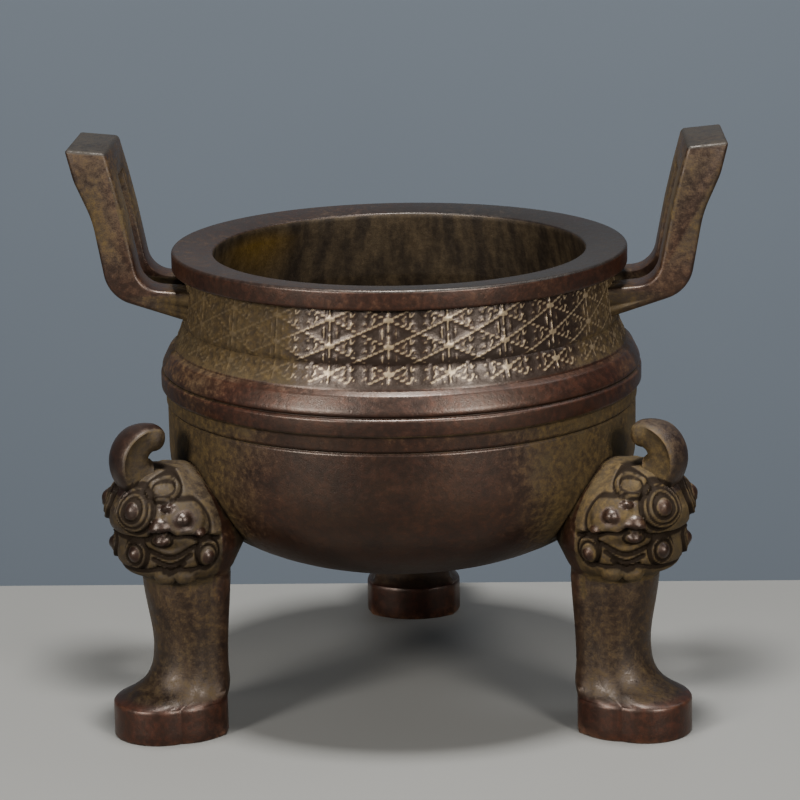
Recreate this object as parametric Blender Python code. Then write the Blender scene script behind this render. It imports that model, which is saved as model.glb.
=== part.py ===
"""Tripod incense burner, cast in one piece of bronze.

A hollow bowl with a flat rim, a concave patterned neck and a ridged shoulder stands on three
legs. Each leg ends below in a spreading foot and above in an animal mask with a curled crest.
Two loop handles rise from the neck, left and right.

Metres, +Z up. The feet stand on Z = 0. X runs from handle to handle, and the third leg points
to +Y. The origin is under the middle of the whole casting's box, so the bowl's axis lies a
little towards -Y of it.
"""
import math

import bmesh
import bpy
from mathutils import Matrix, Vector

MM = 0.001

# Rim and mouth
RIM_DIAMETER = 110.0 * MM
RIM_TOP = 112.0 * MM
RIM_HEIGHT = 4.8 * MM
RIM_EDGE = 0.6 * MM
MOUTH_DIAMETER = 90.0 * MM
MOUTH_FALL = 0.9 * MM

# Neck, from its top under the rim down to its foot on the shoulder
NECK_TOP_DIAMETER = 102.6 * MM
NECK_WAIST_DIAMETER = 106.0 * MM
NECK_WAIST_HEIGHT = 94.4 * MM
NECK_FOOT_DIAMETER = 110.4 * MM
NECK_FOOT_HEIGHT = 89.0 * MM
NECK_GROOVE = 0.5 * MM

# Shoulder with an upper sloping ridge, a lower upright ridge and a flat band
UPPER_RIDGE_TOP_DIAMETER = 112.6 * MM
UPPER_RIDGE_DIAMETER = 116.2 * MM
UPPER_RIDGE_HEIGHT = 5.0 * MM
LOWER_RIDGE_DIAMETER = 116.8 * MM
LOWER_RIDGE_TOP = 82.8 * MM
LOWER_RIDGE_HEIGHT = 4.2 * MM
RIDGE_GROOVE = 0.8 * MM
BAND_DIAMETER = 114.6 * MM
BAND_HEIGHT = 4.0 * MM
BAND_GROOVE = 0.5 * MM

# Bowl
BOWL_DIAMETER = 114.0 * MM
BOWL_SPRING_HEIGHT = 64.0 * MM
BOWL_BOTTOM_HEIGHT = 34.0 * MM
BOWL_FULLNESS = 2.15
WALL = 4.5 * MM
FLOOR = 5.0 * MM

# Handles, each a plate that leaves the neck, bends upright, leans out from its knee to its
# tip, and is pierced by one long slot. Reaches are from the bowl's axis.
HANDLE_WIDTH = 28.0 * MM
HANDLE_ROOT_LOW = 95.7 * MM
HANDLE_ROOT_THICKNESS = 7.4 * MM
HANDLE_HEEL_REACH = 69.2 * MM
HANDLE_HEEL_HEIGHT = 102.3 * MM
HANDLE_HEEL_RADIUS = 8.9 * MM
HANDLE_THROAT_HEIGHT = 104.1 * MM
HANDLE_THROAT_RADIUS = 6.2 * MM
HANDLE_KNEE_REACH = 72.4 * MM
HANDLE_KNEE_HEIGHT = 121.0 * MM
HANDLE_KNEE_RADIUS = 26.0 * MM
HANDLE_TIP_REACH = 78.3 * MM
HANDLE_TIP_SWELL = 0.8 * MM
HANDLE_SWELL_RADIUS = 16.0 * MM
HANDLE_TOP = 138.0 * MM
HANDLE_TOP_FALL = 0.9 * MM
HANDLE_THICKNESS = 7.7 * MM
HANDLE_TIP_THICKNESS = 9.7 * MM
HANDLE_EDGE = 0.9 * MM
SLOT_WIDTH = 9.0 * MM
SLOT_TOP_BAR = 7.8 * MM

# Legs
LEG_COUNT = 3
FOOT_INNER_REACH = 54.8 * MM
FOOT_OUTER_REACH = 78.1 * MM
FOOT_WIDTH = 22.6 * MM
FOOT_CORNER = 0.8 * MM
SOLE_HEIGHT = 8.6 * MM
FLARE_LENGTH = 2.9 * MM
COLUMN_INNER_REACH = 51.2 * MM
COLUMN_OUTER_REACH = 67.1 * MM
COLUMN_WIDTH = 18.2 * MM
COLUMN_CORNER = 2.8 * MM
COLUMN_TOP_SWELL = 1.2 * MM

# Animal mask on the head of each leg
HEAD_AXIS_REACH = 60.5 * MM
HEAD_BOTTOM = 39.6 * MM
HEAD_TOP = 65.8 * MM
HEAD_RADIUS = 17.1 * MM

# The head's reach before and behind its axis at shares of its height, as shares of its radius:
# a chin, a lower bulge, a notch at the mouth's corner, the main bulge of the face, and a crown
# that falls away behind, where it meets the bowl
HEAD_SHAPE = [(0.0, 0.60, 0.68), (0.05, 0.76, 0.74), (0.12, 0.85, 0.79), (0.20, 0.895, 0.85),
              (0.27, 0.90, 0.90), (0.36, 0.865, 0.90), (0.44, 0.93, 0.88), (0.54, 0.99, 0.84),
              (0.64, 1.0, 0.77), (0.74, 0.93, 0.67), (0.83, 0.84, 0.54), (0.92, 0.72, 0.38),
              (0.975, 0.58, 0.26), (1.0, 0.38, 0.12)]
FACE_SIDE = math.radians(50)
FACE_BACK = math.radians(125)
CROWN_SIDE = math.radians(25)
CROWN_BACK = math.radians(100)
CROWN_START = 0.72

# The mask's features on one side, from the front round to the back, as degrees from the front,
# share of the head's height, then width, height and rise in shares of the head's radius
CURLS = [(26, 0.66, 0.50, 0.52), (23.5, 0.28, 0.34, 0.34), (51, 0.88, 0.46, 0.22),
         (92, 0.29, 0.30, 0.40)]
CURL_BAR = 0.10
KNOBS = [(26, 0.66, 0.16, 0.16, 0.08), (23.5, 0.28, 0.13, 0.13, 0.06), (71, 0.64, 0.22, 0.22, 0.10),
         (50.7, 0.58, 0.30, 0.17, 0.11), (51, 0.44, 0.24, 0.14, 0.07), (50.5, 0.06, 0.27, 0.18, 0.10),
         (71.5, 0.06, 0.27, 0.18, 0.10)]

# Curled crest on each mask
CREST_SET_OUT = 6.8 * MM
CREST_RISE = 2.4 * MM
CREST_START = math.radians(-75)
CREST_END = math.radians(96)
CREST_START_RADIUS = 5.6 * MM
CREST_TIP_RADIUS = 4.7 * MM
CREST_THICKNESS = 10.4 * MM
CREST_TIP_THICKNESS = 6.5 * MM
CREST_WIDTH = 8.8 * MM

# The crest's round tip: steps beyond its end and their size, as shares of the tip's own
CREST_CAP = [(0.55, 0.84), (0.95, 0.36)]

# Fineness of the faceting
TURNED_SEGMENTS = 36
BOWL_STEPS = 6
SOLE_STEPS = 8
BEND_STEPS = 5
GENTLE_STEPS = 2
CREST_STEPS = 6
CREST_SIDES = 8
CURL_SIDES = 8
KNOB_SIDES = 6

# Worked out from the sizes above
SHOULDER_RADIUS = max(LOWER_RIDGE_DIAMETER, UPPER_RIDGE_DIAMETER) / 2
AXIS_Y = (SHOULDER_RADIUS - FOOT_OUTER_REACH) / 2
LEG_AZIMUTHS = [math.radians(90 + 360 * i / LEG_COUNT) for i in range(LEG_COUNT)]


def bronze():
    """Dark brown patinated bronze."""
    material = bpy.data.materials.new("patinated_bronze")
    material.use_nodes = True
    shader = material.node_tree.nodes["Principled BSDF"]
    shader.inputs["Base Color"].default_value = (0.075, 0.05, 0.035, 1)
    shader.inputs["Metallic"].default_value = 0.6
    shader.inputs["Roughness"].default_value = 0.42
    return material


def solid(name, rings, closed_ends=True):
    """One closed body through equal rings of points, with flat or pointed ends."""
    shape = bmesh.new()
    loops = [[shape.verts.new(point) for point in ring] for ring in rings]
    for lower, upper in zip(loops, loops[1:]):
        if len(lower) == 1 or len(upper) == 1:
            fan, tip = (upper, lower[0]) if len(lower) == 1 else (lower, upper[0])
            for i in range(len(fan)):
                shape.faces.new((tip, fan[i], fan[(i + 1) % len(fan)]))
        else:
            for i in range(len(lower)):
                j = (i + 1) % len(lower)
                shape.faces.new((lower[i], lower[j], upper[j], upper[i]))
    if closed_ends:
        for loop in (loops[0], loops[-1]):
            if len(loop) > 1:
                shape.faces.new(loop)
    bmesh.ops.recalc_face_normals(shape, faces=shape.faces)
    mesh = bpy.data.meshes.new(name)
    shape.to_mesh(mesh)
    shape.free()
    result = bpy.data.objects.new(name, mesh)
    bpy.context.scene.collection.objects.link(result)
    return result


def turned(name, profile):
    """A body turned about the bowl's axis. The profile's first and last points are on the axis."""
    rings = []
    for radius, height in profile:
        if radius == 0:
            rings.append([Vector((0, 0, height))])
            continue
        angles = [2 * math.pi * i / TURNED_SEGMENTS for i in range(TURNED_SEGMENTS)]
        rings.append([Vector((radius * math.cos(a), radius * math.sin(a), height)) for a in angles])
    return solid(name, rings)


def combine(target, tool, operation):
    """Join the tool to the target, or cut it away, and remove the tool."""
    step = target.modifiers.new("combine", "BOOLEAN")
    step.operation = operation
    step.solver = "EXACT"
    step.object = tool
    graph = bpy.context.evaluated_depsgraph_get()
    result = bpy.data.meshes.new_from_object(target.evaluated_get(graph))
    target.modifiers.remove(step)
    target.data = result
    bpy.data.objects.remove(tool)


def bowl_curve(radius, bottom, spring):
    """Full half-oval from the lowest point on the axis out to the upright wall."""
    points = [(0, bottom)]
    for i in range(1, BOWL_STEPS + 1):
        turn = math.pi / 2 * i / BOWL_STEPS
        across = math.sin(turn) ** (2 / BOWL_FULLNESS)
        down = max(math.cos(turn), 0) ** (2 / BOWL_FULLNESS)
        points.append((radius * across, spring - (spring - bottom) * down))
    return points


def neck_radius(height):
    """Outer radius of the neck: nearly straight above its waist, flared below it."""
    rim_foot = RIM_TOP - RIM_HEIGHT
    if height > NECK_WAIST_HEIGHT:
        share = (height - NECK_WAIST_HEIGHT) / (rim_foot - NECK_WAIST_HEIGHT)
        return (NECK_WAIST_DIAMETER + share * (NECK_TOP_DIAMETER - NECK_WAIST_DIAMETER)) / 2
    share = (NECK_WAIST_HEIGHT - height) / (NECK_WAIST_HEIGHT - NECK_FOOT_HEIGHT)
    return (NECK_WAIST_DIAMETER + share ** 1.6 * (NECK_FOOT_DIAMETER - NECK_WAIST_DIAMETER)) / 2


def vessel_outside():
    """The bowl, shoulder, neck and rim as one solid lump, before it is hollowed."""
    wall = BOWL_DIAMETER / 2
    band = BAND_DIAMETER / 2
    lower = LOWER_RIDGE_DIAMETER / 2
    upper = UPPER_RIDGE_DIAMETER / 2
    lower_foot = LOWER_RIDGE_TOP - LOWER_RIDGE_HEIGHT
    band_foot = lower_foot - BAND_HEIGHT
    ease = RIDGE_GROOVE
    profile = bowl_curve(wall, BOWL_BOTTOM_HEIGHT, BOWL_SPRING_HEIGHT)
    profile += [
        (wall, band_foot - BAND_GROOVE),
        (wall - BAND_GROOVE, band_foot),
        (band, band_foot + BAND_GROOVE),
        (band, lower_foot - ease / 2),
        (lower, lower_foot + ease / 2),
        (lower, LOWER_RIDGE_TOP - ease / 2),
        (lower - RIDGE_GROOVE, LOWER_RIDGE_TOP + ease / 4),
        (upper, LOWER_RIDGE_TOP + ease),
        (upper - ease / 3, LOWER_RIDGE_TOP + UPPER_RIDGE_HEIGHT / 3),
        (UPPER_RIDGE_TOP_DIAMETER / 2, LOWER_RIDGE_TOP + UPPER_RIDGE_HEIGHT),
        (NECK_FOOT_DIAMETER / 2 - ease / 3, NECK_FOOT_HEIGHT),
    ]
    for share in (0.4, 0.75):
        height = NECK_FOOT_HEIGHT + share * (NECK_WAIST_HEIGHT - NECK_FOOT_HEIGHT)
        profile.append((neck_radius(height), height))
    profile += [
        (neck_radius(NECK_WAIST_HEIGHT) - NECK_GROOVE, NECK_WAIST_HEIGHT),
        (neck_radius(NECK_WAIST_HEIGHT + NECK_GROOVE), NECK_WAIST_HEIGHT + NECK_GROOVE),
        (NECK_TOP_DIAMETER / 2, RIM_TOP - RIM_HEIGHT),
        (RIM_DIAMETER / 2 - RIM_EDGE, RIM_TOP - RIM_HEIGHT),
        (RIM_DIAMETER / 2, RIM_TOP - RIM_HEIGHT + RIM_EDGE),
        (RIM_DIAMETER / 2, RIM_TOP - RIM_EDGE),
        (RIM_DIAMETER / 2 - RIM_EDGE, RIM_TOP),
        (MOUTH_DIAMETER / 2, RIM_TOP - MOUTH_FALL),
        (0, RIM_TOP - MOUTH_FALL),
    ]
    return turned("vessel", profile)


def cavity():
    """The empty inside of the vessel, one wall's thickness within its outside."""
    shoulder_height = LOWER_RIDGE_TOP - LOWER_RIDGE_HEIGHT
    rim_foot = RIM_TOP - RIM_HEIGHT
    mouth = MOUTH_DIAMETER / 2
    profile = bowl_curve(BOWL_DIAMETER / 2 - WALL, BOWL_BOTTOM_HEIGHT + FLOOR, BOWL_SPRING_HEIGHT)
    profile += [
        (BOWL_DIAMETER / 2 - WALL, shoulder_height),
        (NECK_FOOT_DIAMETER / 2 - WALL, NECK_FOOT_HEIGHT),
        (NECK_WAIST_DIAMETER / 2 - WALL, NECK_WAIST_HEIGHT),
        (mouth + RIM_EDGE, rim_foot),
        (mouth, RIM_TOP - MOUTH_FALL - RIM_EDGE),
        (mouth + 2 * RIM_EDGE, RIM_TOP + RIM_EDGE),
        (0, RIM_TOP + RIM_EDGE),
    ]
    return turned("cavity", profile)


def rounded_corner(before, corner, after, radius, steps):
    """Points of an arc that rounds a corner off."""
    back = (before - corner).normalized()
    ahead = (after - corner).normalized()
    half_angle = back.angle(ahead) / 2
    centre = corner + (back + ahead).normalized() * radius / math.sin(half_angle)
    first = corner + back * radius / math.tan(half_angle) - centre
    sweep = math.pi - 2 * half_angle
    if back.x * ahead.y - back.y * ahead.x > 0:
        sweep = -sweep
    points = []
    for i in range(steps + 1):
        turn = sweep * i / steps
        points.append(centre + Matrix.Rotation(turn, 2) @ first)
    return points


def handle_outline():
    """Side view of the right handle as (reach, height)."""
    root = NECK_TOP_DIAMETER / 2 - WALL / 2
    root_low = Vector((root, HANDLE_ROOT_LOW))
    root_high = Vector((root, HANDLE_ROOT_LOW + HANDLE_ROOT_THICKNESS))
    heel = Vector((HANDLE_HEEL_REACH, HANDLE_HEEL_HEIGHT))
    throat = Vector((HANDLE_HEEL_REACH - HANDLE_THICKNESS, HANDLE_THROAT_HEIGHT))
    knee = Vector((HANDLE_KNEE_REACH, HANDLE_KNEE_HEIGHT))
    inner_knee = Vector((HANDLE_KNEE_REACH - HANDLE_THICKNESS, HANDLE_KNEE_HEIGHT))
    tip = Vector((HANDLE_TIP_REACH, HANDLE_TOP))
    inner_tip = Vector((HANDLE_TIP_REACH - HANDLE_TIP_THICKNESS, HANDLE_TOP - HANDLE_TOP_FALL))
    swell = knee.lerp(tip, 0.55) + Vector((HANDLE_TIP_SWELL, 0))
    outline = [root_low] + rounded_corner(root_low, heel, knee, HANDLE_HEEL_RADIUS, BEND_STEPS)
    outline += rounded_corner(heel, knee, swell, HANDLE_KNEE_RADIUS, GENTLE_STEPS)
    outline += rounded_corner(knee, swell, tip, HANDLE_SWELL_RADIUS, GENTLE_STEPS)
    outline += [tip, inner_tip, inner_knee]
    outline += rounded_corner(inner_knee, throat, root_high, HANDLE_THROAT_RADIUS, BEND_STEPS)
    return outline + [root_high]


def handle():
    """The bent plate with its softened edges and its slot."""
    outline = handle_outline()
    half = HANDLE_WIDTH / 2
    rings = [[Vector((p.x, side * half, p.y)) for p in outline] for side in (-1, 1)]
    plate = solid("handle", rings)
    soften = plate.modifiers.new("softened edges", "BEVEL")
    soften.width = HANDLE_EDGE
    soften.segments = 1
    soften.limit_method = "ANGLE"
    soften.angle_limit = math.radians(50)
    graph = bpy.context.evaluated_depsgraph_get()
    softened = bpy.data.meshes.new_from_object(plate.evaluated_get(graph))
    plate.modifiers.remove(soften)
    plate.data = softened
    slot_half = SLOT_WIDTH / 2
    reach = HANDLE_TIP_REACH + 2 * HANDLE_TIP_THICKNESS
    low = HANDLE_ROOT_LOW - HANDLE_THICKNESS
    high = HANDLE_TOP - SLOT_TOP_BAR
    corners = [(-slot_half, low), (slot_half, low), (slot_half, high), (-slot_half, high)]
    start = NECK_TOP_DIAMETER / 2 - WALL / 3
    slot_rings = [[Vector((x, y, z)) for y, z in corners] for x in (start, reach)]
    combine(plate, solid("slot", slot_rings), "DIFFERENCE")
    return plate


def d_section(inner_reach, outer_reach, width, corner):
    """Plan outline of foot and column: flat inside with cut corners, round outside."""
    half = width / 2
    centre = outer_reach - half
    points = []
    for i in range(SOLE_STEPS + 1):
        turn = -math.pi / 2 + math.pi * i / SOLE_STEPS
        points.append(Vector((centre + half * math.cos(turn), half * math.sin(turn))))
    flat = [(inner_reach + corner * 2.2, half), (inner_reach + corner, half),
            (inner_reach, half - corner), (inner_reach, 0)]
    points += [Vector((x, y)) for x, y in flat]
    points += [Vector((x, -y)) for x, y in flat[-2::-1]]
    return points


def head_ring(height):
    """The mask's head at a height, point for point like the column below it."""
    turns = [-math.pi / 2 + math.pi * i / SOLE_STEPS for i in range(SOLE_STEPS + 1)]
    turns += [math.pi / 2 + math.pi * i / 8 for i in range(1, 8)]
    return [skin(t, height) for t in turns]


def skin(angle, height, lift=0.0):
    """A point on the head's skin, or lifted off it, at an angle from the front and a height."""
    if angle > math.pi:
        angle -= 2 * math.pi
    step = 0.4 * MM
    radius = head_radius(angle, height)
    slope = (head_radius(angle, height + step) - head_radius(angle, height - step)) / (2 * step)
    out = Vector((math.cos(angle), math.sin(angle), -slope)).normalized()
    reach = HEAD_AXIS_REACH + radius * math.cos(angle)
    return Vector((reach, radius * math.sin(angle), height)) + out * lift


def column_ring(height):
    """Foot and column at a height: the foot's spread dies away upwards."""
    spread = math.exp(-max(height - SOLE_HEIGHT, 0) / FLARE_LENGTH)
    swell = COLUMN_TOP_SWELL * smooth((height - HEAD_BOTTOM / 2) / (HEAD_BOTTOM / 2))
    lean = 1 - min(height / HEAD_BOTTOM, 1)
    inner = mix(COLUMN_INNER_REACH, FOOT_INNER_REACH, max(spread, 0.45 * lean))
    outer = mix(COLUMN_OUTER_REACH + 2 * swell, FOOT_OUTER_REACH, spread)
    width = mix(COLUMN_WIDTH + 2 * swell, FOOT_WIDTH, spread)
    corner = mix(COLUMN_CORNER, FOOT_CORNER, spread)
    return d_section(inner, outer, width, corner)


def smooth(share):
    """Ease from 0 to 1."""
    share = min(max(share, 0), 1)
    return share * share * (3 - 2 * share)


def mix(first, second, share):
    return first + (second - first) * share


def head_radius(angle, height):
    """Reach of the head's skin from its axis, at an angle from the front and a height."""
    share = (height - HEAD_BOTTOM) / (HEAD_TOP - HEAD_BOTTOM)
    share = min(max(share, 0), 1)
    crown = smooth((share - CROWN_START) / (1 - CROWN_START))
    side = mix(FACE_SIDE, CROWN_SIDE, crown)
    back = mix(FACE_BACK, CROWN_BACK, crown)
    behind = smooth((abs(angle) - side) / (back - side))
    for (low, *low_reach), (high, *high_reach) in zip(HEAD_SHAPE, HEAD_SHAPE[1:]):
        if share <= high:
            up = (share - low) / (high - low)
            before, after = (mix(a, b, up) for a, b in zip(low_reach, high_reach))
            return HEAD_RADIUS * mix(before, after, behind)


def leg_trunk():
    """Foot, column and the plain bulk of the head, pointing to +X."""
    heights = [0, SOLE_HEIGHT * 0.92, SOLE_HEIGHT]
    heights += [SOLE_HEIGHT + FLARE_LENGTH * k for k in (0.4, 0.85, 1.5, 2.7)]
    foot_top = heights[-1]
    heights += [mix(foot_top, HEAD_BOTTOM, k) for k in (0.5, 0.97)]
    rings = []
    for height in heights:
        rings.append([Vector((p.x, p.y, height)) for p in column_ring(height)])
    for share, *_ in HEAD_SHAPE[1:]:
        rings.append(head_ring(mix(HEAD_BOTTOM, HEAD_TOP, share)))
    return solid("leg", rings)


def crest_ring(middle, turn, radius, thick, wide, ahead):
    """One oval section of the crest, square to its spiral."""
    out = Vector((math.cos(turn), 0, math.sin(turn)))
    onward = Vector((-math.sin(turn), 0, math.cos(turn)))
    centre = middle + out * radius + onward * ahead
    ring = []
    for k in range(CREST_SIDES):
        around = 2 * math.pi * k / CREST_SIDES
        aside = Vector((0, wide / 2 * math.sin(around), 0))
        ring.append(centre + out * thick / 2 * math.cos(around) + aside)
    return ring


def crest():
    """The curled hook on the head: an oval bar along a closing spiral, with a round tip."""
    middle = Vector((HEAD_AXIS_REACH + CREST_SET_OUT, 0, HEAD_TOP + CREST_RISE))
    rings = []
    for i in range(CREST_STEPS + 1):
        share = i / CREST_STEPS
        turn = mix(CREST_START, CREST_END, share)
        radius = mix(CREST_START_RADIUS, CREST_TIP_RADIUS, share)
        thick = mix(CREST_THICKNESS, CREST_TIP_THICKNESS, share)
        rings.append(crest_ring(middle, turn, radius, thick, CREST_WIDTH, 0))
    for ahead, blunt in CREST_CAP:
        rings.append(crest_ring(middle, CREST_END, CREST_TIP_RADIUS, CREST_TIP_THICKNESS * blunt,
                                CREST_WIDTH * blunt, CREST_TIP_THICKNESS / 2 * ahead))
    return solid("crest", rings)


def relief(name, angle, height, levels, sides, closed_ends):
    """A raised form that follows the skin. Each level is (width, height, lift) of an oval."""
    rings = []
    radius = head_radius(angle, height)
    for across, up, lift in levels:
        turns = [2 * math.pi * k / sides for k in range(sides)] if across else [0]
        ring = []
        for turn in turns:
            aside = across / 2 * math.cos(turn)
            above = up / 2 * math.sin(turn)
            ring.append(skin(angle + aside / radius, height + above, lift))
        rings.append(ring)
    if not closed_ends:
        rings.append(rings[0])
    return solid(name, rings, closed_ends)


def curl(angle, height, across, up):
    """A raised oval ring."""
    bar = CURL_BAR * HEAD_RADIUS
    levels = [(across + 1.7 * bar, up + 1.7 * bar, -bar), (across, up, 0.45 * bar),
              (across - 1.7 * bar, up - 1.7 * bar, -bar)]
    return relief("curl", angle, height, levels, CURL_SIDES, False)


def knob(angle, height, across, up, rise):
    """A raised oval knob."""
    levels = [(1.15 * across, 1.15 * up, -rise), (0.75 * across, 0.75 * up, 0.6 * rise), (0, 0, rise)]
    return relief("knob", angle, height, levels, KNOB_SIDES, True)


def leg():
    """One leg pointing to +X, with both sides of its mask."""
    trunk = leg_trunk()
    combine(trunk, crest(), "UNION")
    for side in (-1, 1):
        for degrees, share, across, up in CURLS:
            angle = side * math.radians(degrees)
            height = mix(HEAD_BOTTOM, HEAD_TOP, share)
            combine(trunk, curl(angle, height, across * HEAD_RADIUS, up * HEAD_RADIUS), "UNION")
        for degrees, share, across, up, rise in KNOBS:
            angle = side * math.radians(degrees)
            height = mix(HEAD_BOTTOM, HEAD_TOP, share)
            size = [part * HEAD_RADIUS for part in (across, up, rise)]
            combine(trunk, knob(angle, height, *size), "UNION")
    return trunk


def turn_copy(source, azimuth):
    """A copy of a piece with its mesh turned about the bowl's axis."""
    mesh = source.data.copy()
    mesh.transform(Matrix.Rotation(azimuth, 4, "Z"))
    copy = bpy.data.objects.new(source.name + "_copy", mesh)
    bpy.context.scene.collection.objects.link(copy)
    return copy


def censer():
    """The whole casting."""
    body = vessel_outside()
    body.name = "censer"
    first_leg = leg()
    for azimuth in LEG_AZIMUTHS:
        combine(body, turn_copy(first_leg, azimuth), "UNION")
    bpy.data.objects.remove(first_leg)
    first_handle = handle()
    for azimuth in (0, math.pi):
        combine(body, turn_copy(first_handle, azimuth), "UNION")
    bpy.data.objects.remove(first_handle)
    combine(body, cavity(), "DIFFERENCE")
    body.location = (0, AXIS_Y, 0)
    body.data.materials.clear()
    body.data.materials.append(bronze())
    body.data.shade_smooth()
    body.data.set_sharp_from_angle(angle=math.radians(32))
    return body


for item in list(bpy.data.objects):
    bpy.data.objects.remove(item)
censer()
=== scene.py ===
"""Tripod incense burner in patinated bronze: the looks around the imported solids. Metres, +Z up."""

import math

import bmesh
import bpy
import numpy as np
from mathutils import Matrix, Vector


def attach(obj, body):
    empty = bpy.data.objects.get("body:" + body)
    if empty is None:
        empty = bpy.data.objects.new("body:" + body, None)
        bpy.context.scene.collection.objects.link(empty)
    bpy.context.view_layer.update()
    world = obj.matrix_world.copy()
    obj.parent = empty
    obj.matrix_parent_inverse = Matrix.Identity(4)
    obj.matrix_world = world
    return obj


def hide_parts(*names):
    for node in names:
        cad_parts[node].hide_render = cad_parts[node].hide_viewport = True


MM = 0.001
AXIS_Y = -9.85 * MM
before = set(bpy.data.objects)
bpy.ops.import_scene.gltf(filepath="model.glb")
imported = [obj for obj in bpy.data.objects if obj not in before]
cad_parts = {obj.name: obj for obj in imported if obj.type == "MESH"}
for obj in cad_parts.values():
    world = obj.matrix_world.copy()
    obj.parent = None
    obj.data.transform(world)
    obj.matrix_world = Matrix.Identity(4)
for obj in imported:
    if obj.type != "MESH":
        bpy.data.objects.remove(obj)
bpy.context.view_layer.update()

# Sizes of the casting, in millimetres. The crest's sizes are given at its root and at its tip
BOWL_RADIUS = 57.0
BOWL_BOTTOM = 34.0
BOWL_SPRING = 64.0
INSIDE_RADIUS = 52.5
INSIDE_FLOOR = 39.0
WALL_MIDDLE = 54.7
FLOOR_MIDDLE = 36.5
NECK_LOW = 89.2
NECK_LINE = 94.4
NECK_TOP = 107.0
LEG_AZIMUTHS = (90, 210, 330)
FOOT_MIDDLE = 66.0
CREST_CENTRE = (67.3, 68.2)
CREST_TURN = (-75, 96)
CREST_REACH = (5.6, 4.7)
CREST_THICKNESS = (10.4, 6.5)
CREST_HALF_WIDTH = 4.4
CREST_ARRIS = 0.76
HANDLE_HALF_WIDTH = 14
SLOT_HALF_WIDTH = 4.5


def smooth(x):
    x = np.clip(x, 0.0, 1.0)
    return x * x * (3 - 2 * x)


def mix(a, b, t):
    return a + (b - a) * t


def bell(d, width):
    """1 at d = 0, falling to nothing at about the given width."""
    return np.exp(-(d / width) ** 2 * 2.2)


def to_object(name, verts, faces):
    mesh = bpy.data.meshes.new(name)
    mesh.from_pydata([tuple(v) for v in verts], [], faces)
    mesh.update()
    result = bpy.data.objects.new(name, mesh)
    bpy.context.scene.collection.objects.link(result)
    return result


def face_outward(obj):
    shape = bmesh.new()
    shape.from_mesh(obj.data)
    bmesh.ops.recalc_face_normals(shape, faces=shape.faces)
    shape.to_mesh(obj.data)
    shape.free()


def stitched(name, rings):
    """One closed body through rings of points. Neighbours may differ in number by a whole factor."""
    verts = []
    starts = []
    for ring in rings:
        starts.append(len(verts))
        verts.extend(ring)
    faces = []
    for (ring_a, a), (ring_b, b) in zip(zip(rings, starts), zip(rings[1:], starts[1:])):
        na = len(ring_a)
        nb = len(ring_b)
        if na == nb:
            faces += [(a + i, a + (i + 1) % na, b + (i + 1) % nb, b + i) for i in range(na)]
            continue
        if na > nb:
            few, many, n_few, n_many, turn = b, a, nb, na, True
        else:
            few, many, n_few, n_many, turn = a, b, na, nb, False
        k = n_many // n_few
        for i in range(n_few):
            fan = []
            if n_few > 1:
                half = k // 2
                for j in range(half):
                    fan.append((few + i, many + i * k + j, many + (i * k + j + 1) % n_many))
                fan.append((few + i, many + (i * k + half) % n_many, few + (i + 1) % n_few))
                for j in range(half, k):
                    fan.append((few + (i + 1) % n_few, many + i * k + j, many + (i * k + j + 1) % n_many))
            else:
                fan = [(few, many + j, many + (j + 1) % n_many) for j in range(n_many)]
            faces += [f[::-1] for f in fan] if turn else fan
    for start, ring in ((starts[0], rings[0]), (starts[-1], rings[-1])):
        if len(ring) > 1:
            faces.append(tuple(range(start, start + len(ring))))
    obj = to_object(name, verts, faces)
    face_outward(obj)
    return obj


# Neck pattern: a lattice of stars with branchlets, and a plain line at the waist
PITCH = math.radians(15)
PHASE = math.radians(270 + 2.1 - 3)
STAR_Z = 98.3
ROW = 6.1


def segment(x, y, x0, y0, x1, y1):
    """Distance from points to a segment, all in millimetres."""
    dx = x1 - x0
    dy = y1 - y0
    t = np.clip(((x - x0) * dx + (y - y0) * dy) / (dx * dx + dy * dy), 0, 1)
    return np.hypot(x - x0 - t * dx, y - y0 - t * dy)


def neck_relief(angle, z):
    """0 to 1 on the raised lines of the neck, for arrays of angle and height in millimetres."""
    pitch = PITCH * 52.5
    u = (angle - PHASE) / PITCH
    v = (z - STAR_Z) / ROW
    x = (u - np.round(u)) * pitch
    height = np.zeros_like(u)
    for s in (-1, 1):
        w = v + s * u
        d = np.abs(w - np.round(w)) * ROW * pitch / math.hypot(pitch, ROW)
        height = np.maximum(height, bell(d, 0.42))
    y = (v - np.round(v)) * ROW
    spoke = np.where(np.abs(y) < 0.42 * ROW, bell(np.abs(x), 0.4), 0)
    height = np.maximum(height, spoke)
    ax = np.abs(x)
    ay = np.abs(y)
    twigs = [(1.55, 3.05, 1.55, 1.75), (1.55, 3.05, 2.5, 3.7), (1.55, 3.05, 0.75, 3.9),
             (3.1, 0.0, 2.15, 0.0), (3.1, 0.0, 3.9, 0.85), (5.0, 0.55, 5.9, 1.25), (5.0, 0.55, 4.9, 1.5)]
    for x0, y0, x1, y1 in twigs:
        height = np.maximum(height, 0.9 * bell(segment(ax, ay, x0, y0, x1, y1), 0.36))
    fade = smooth((z - 89.6) / 0.8) * smooth((106.9 - z) / 0.7)
    line = bell(z - NECK_LINE, 0.5)
    return height * fade * (1 - line)


def neck_radius(z):
    if z > NECK_LINE:
        return mix(106.0, 102.6, (z - NECK_LINE) / (107.2 - NECK_LINE)) / 2
    return mix(106.0, 110.4, ((NECK_LINE - z) / 5.4) ** 1.6) / 2


def oval(radius, bottom, spring, steps):
    points = []
    for i in range(1, steps + 1):
        turn = math.pi / 2 * i / steps
        across = math.sin(turn) ** (2 / 2.15)
        down = max(math.cos(turn), 0) ** (2 / 2.15)
        points.append((radius * across, spring - (spring - bottom) * down))
    return points


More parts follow.
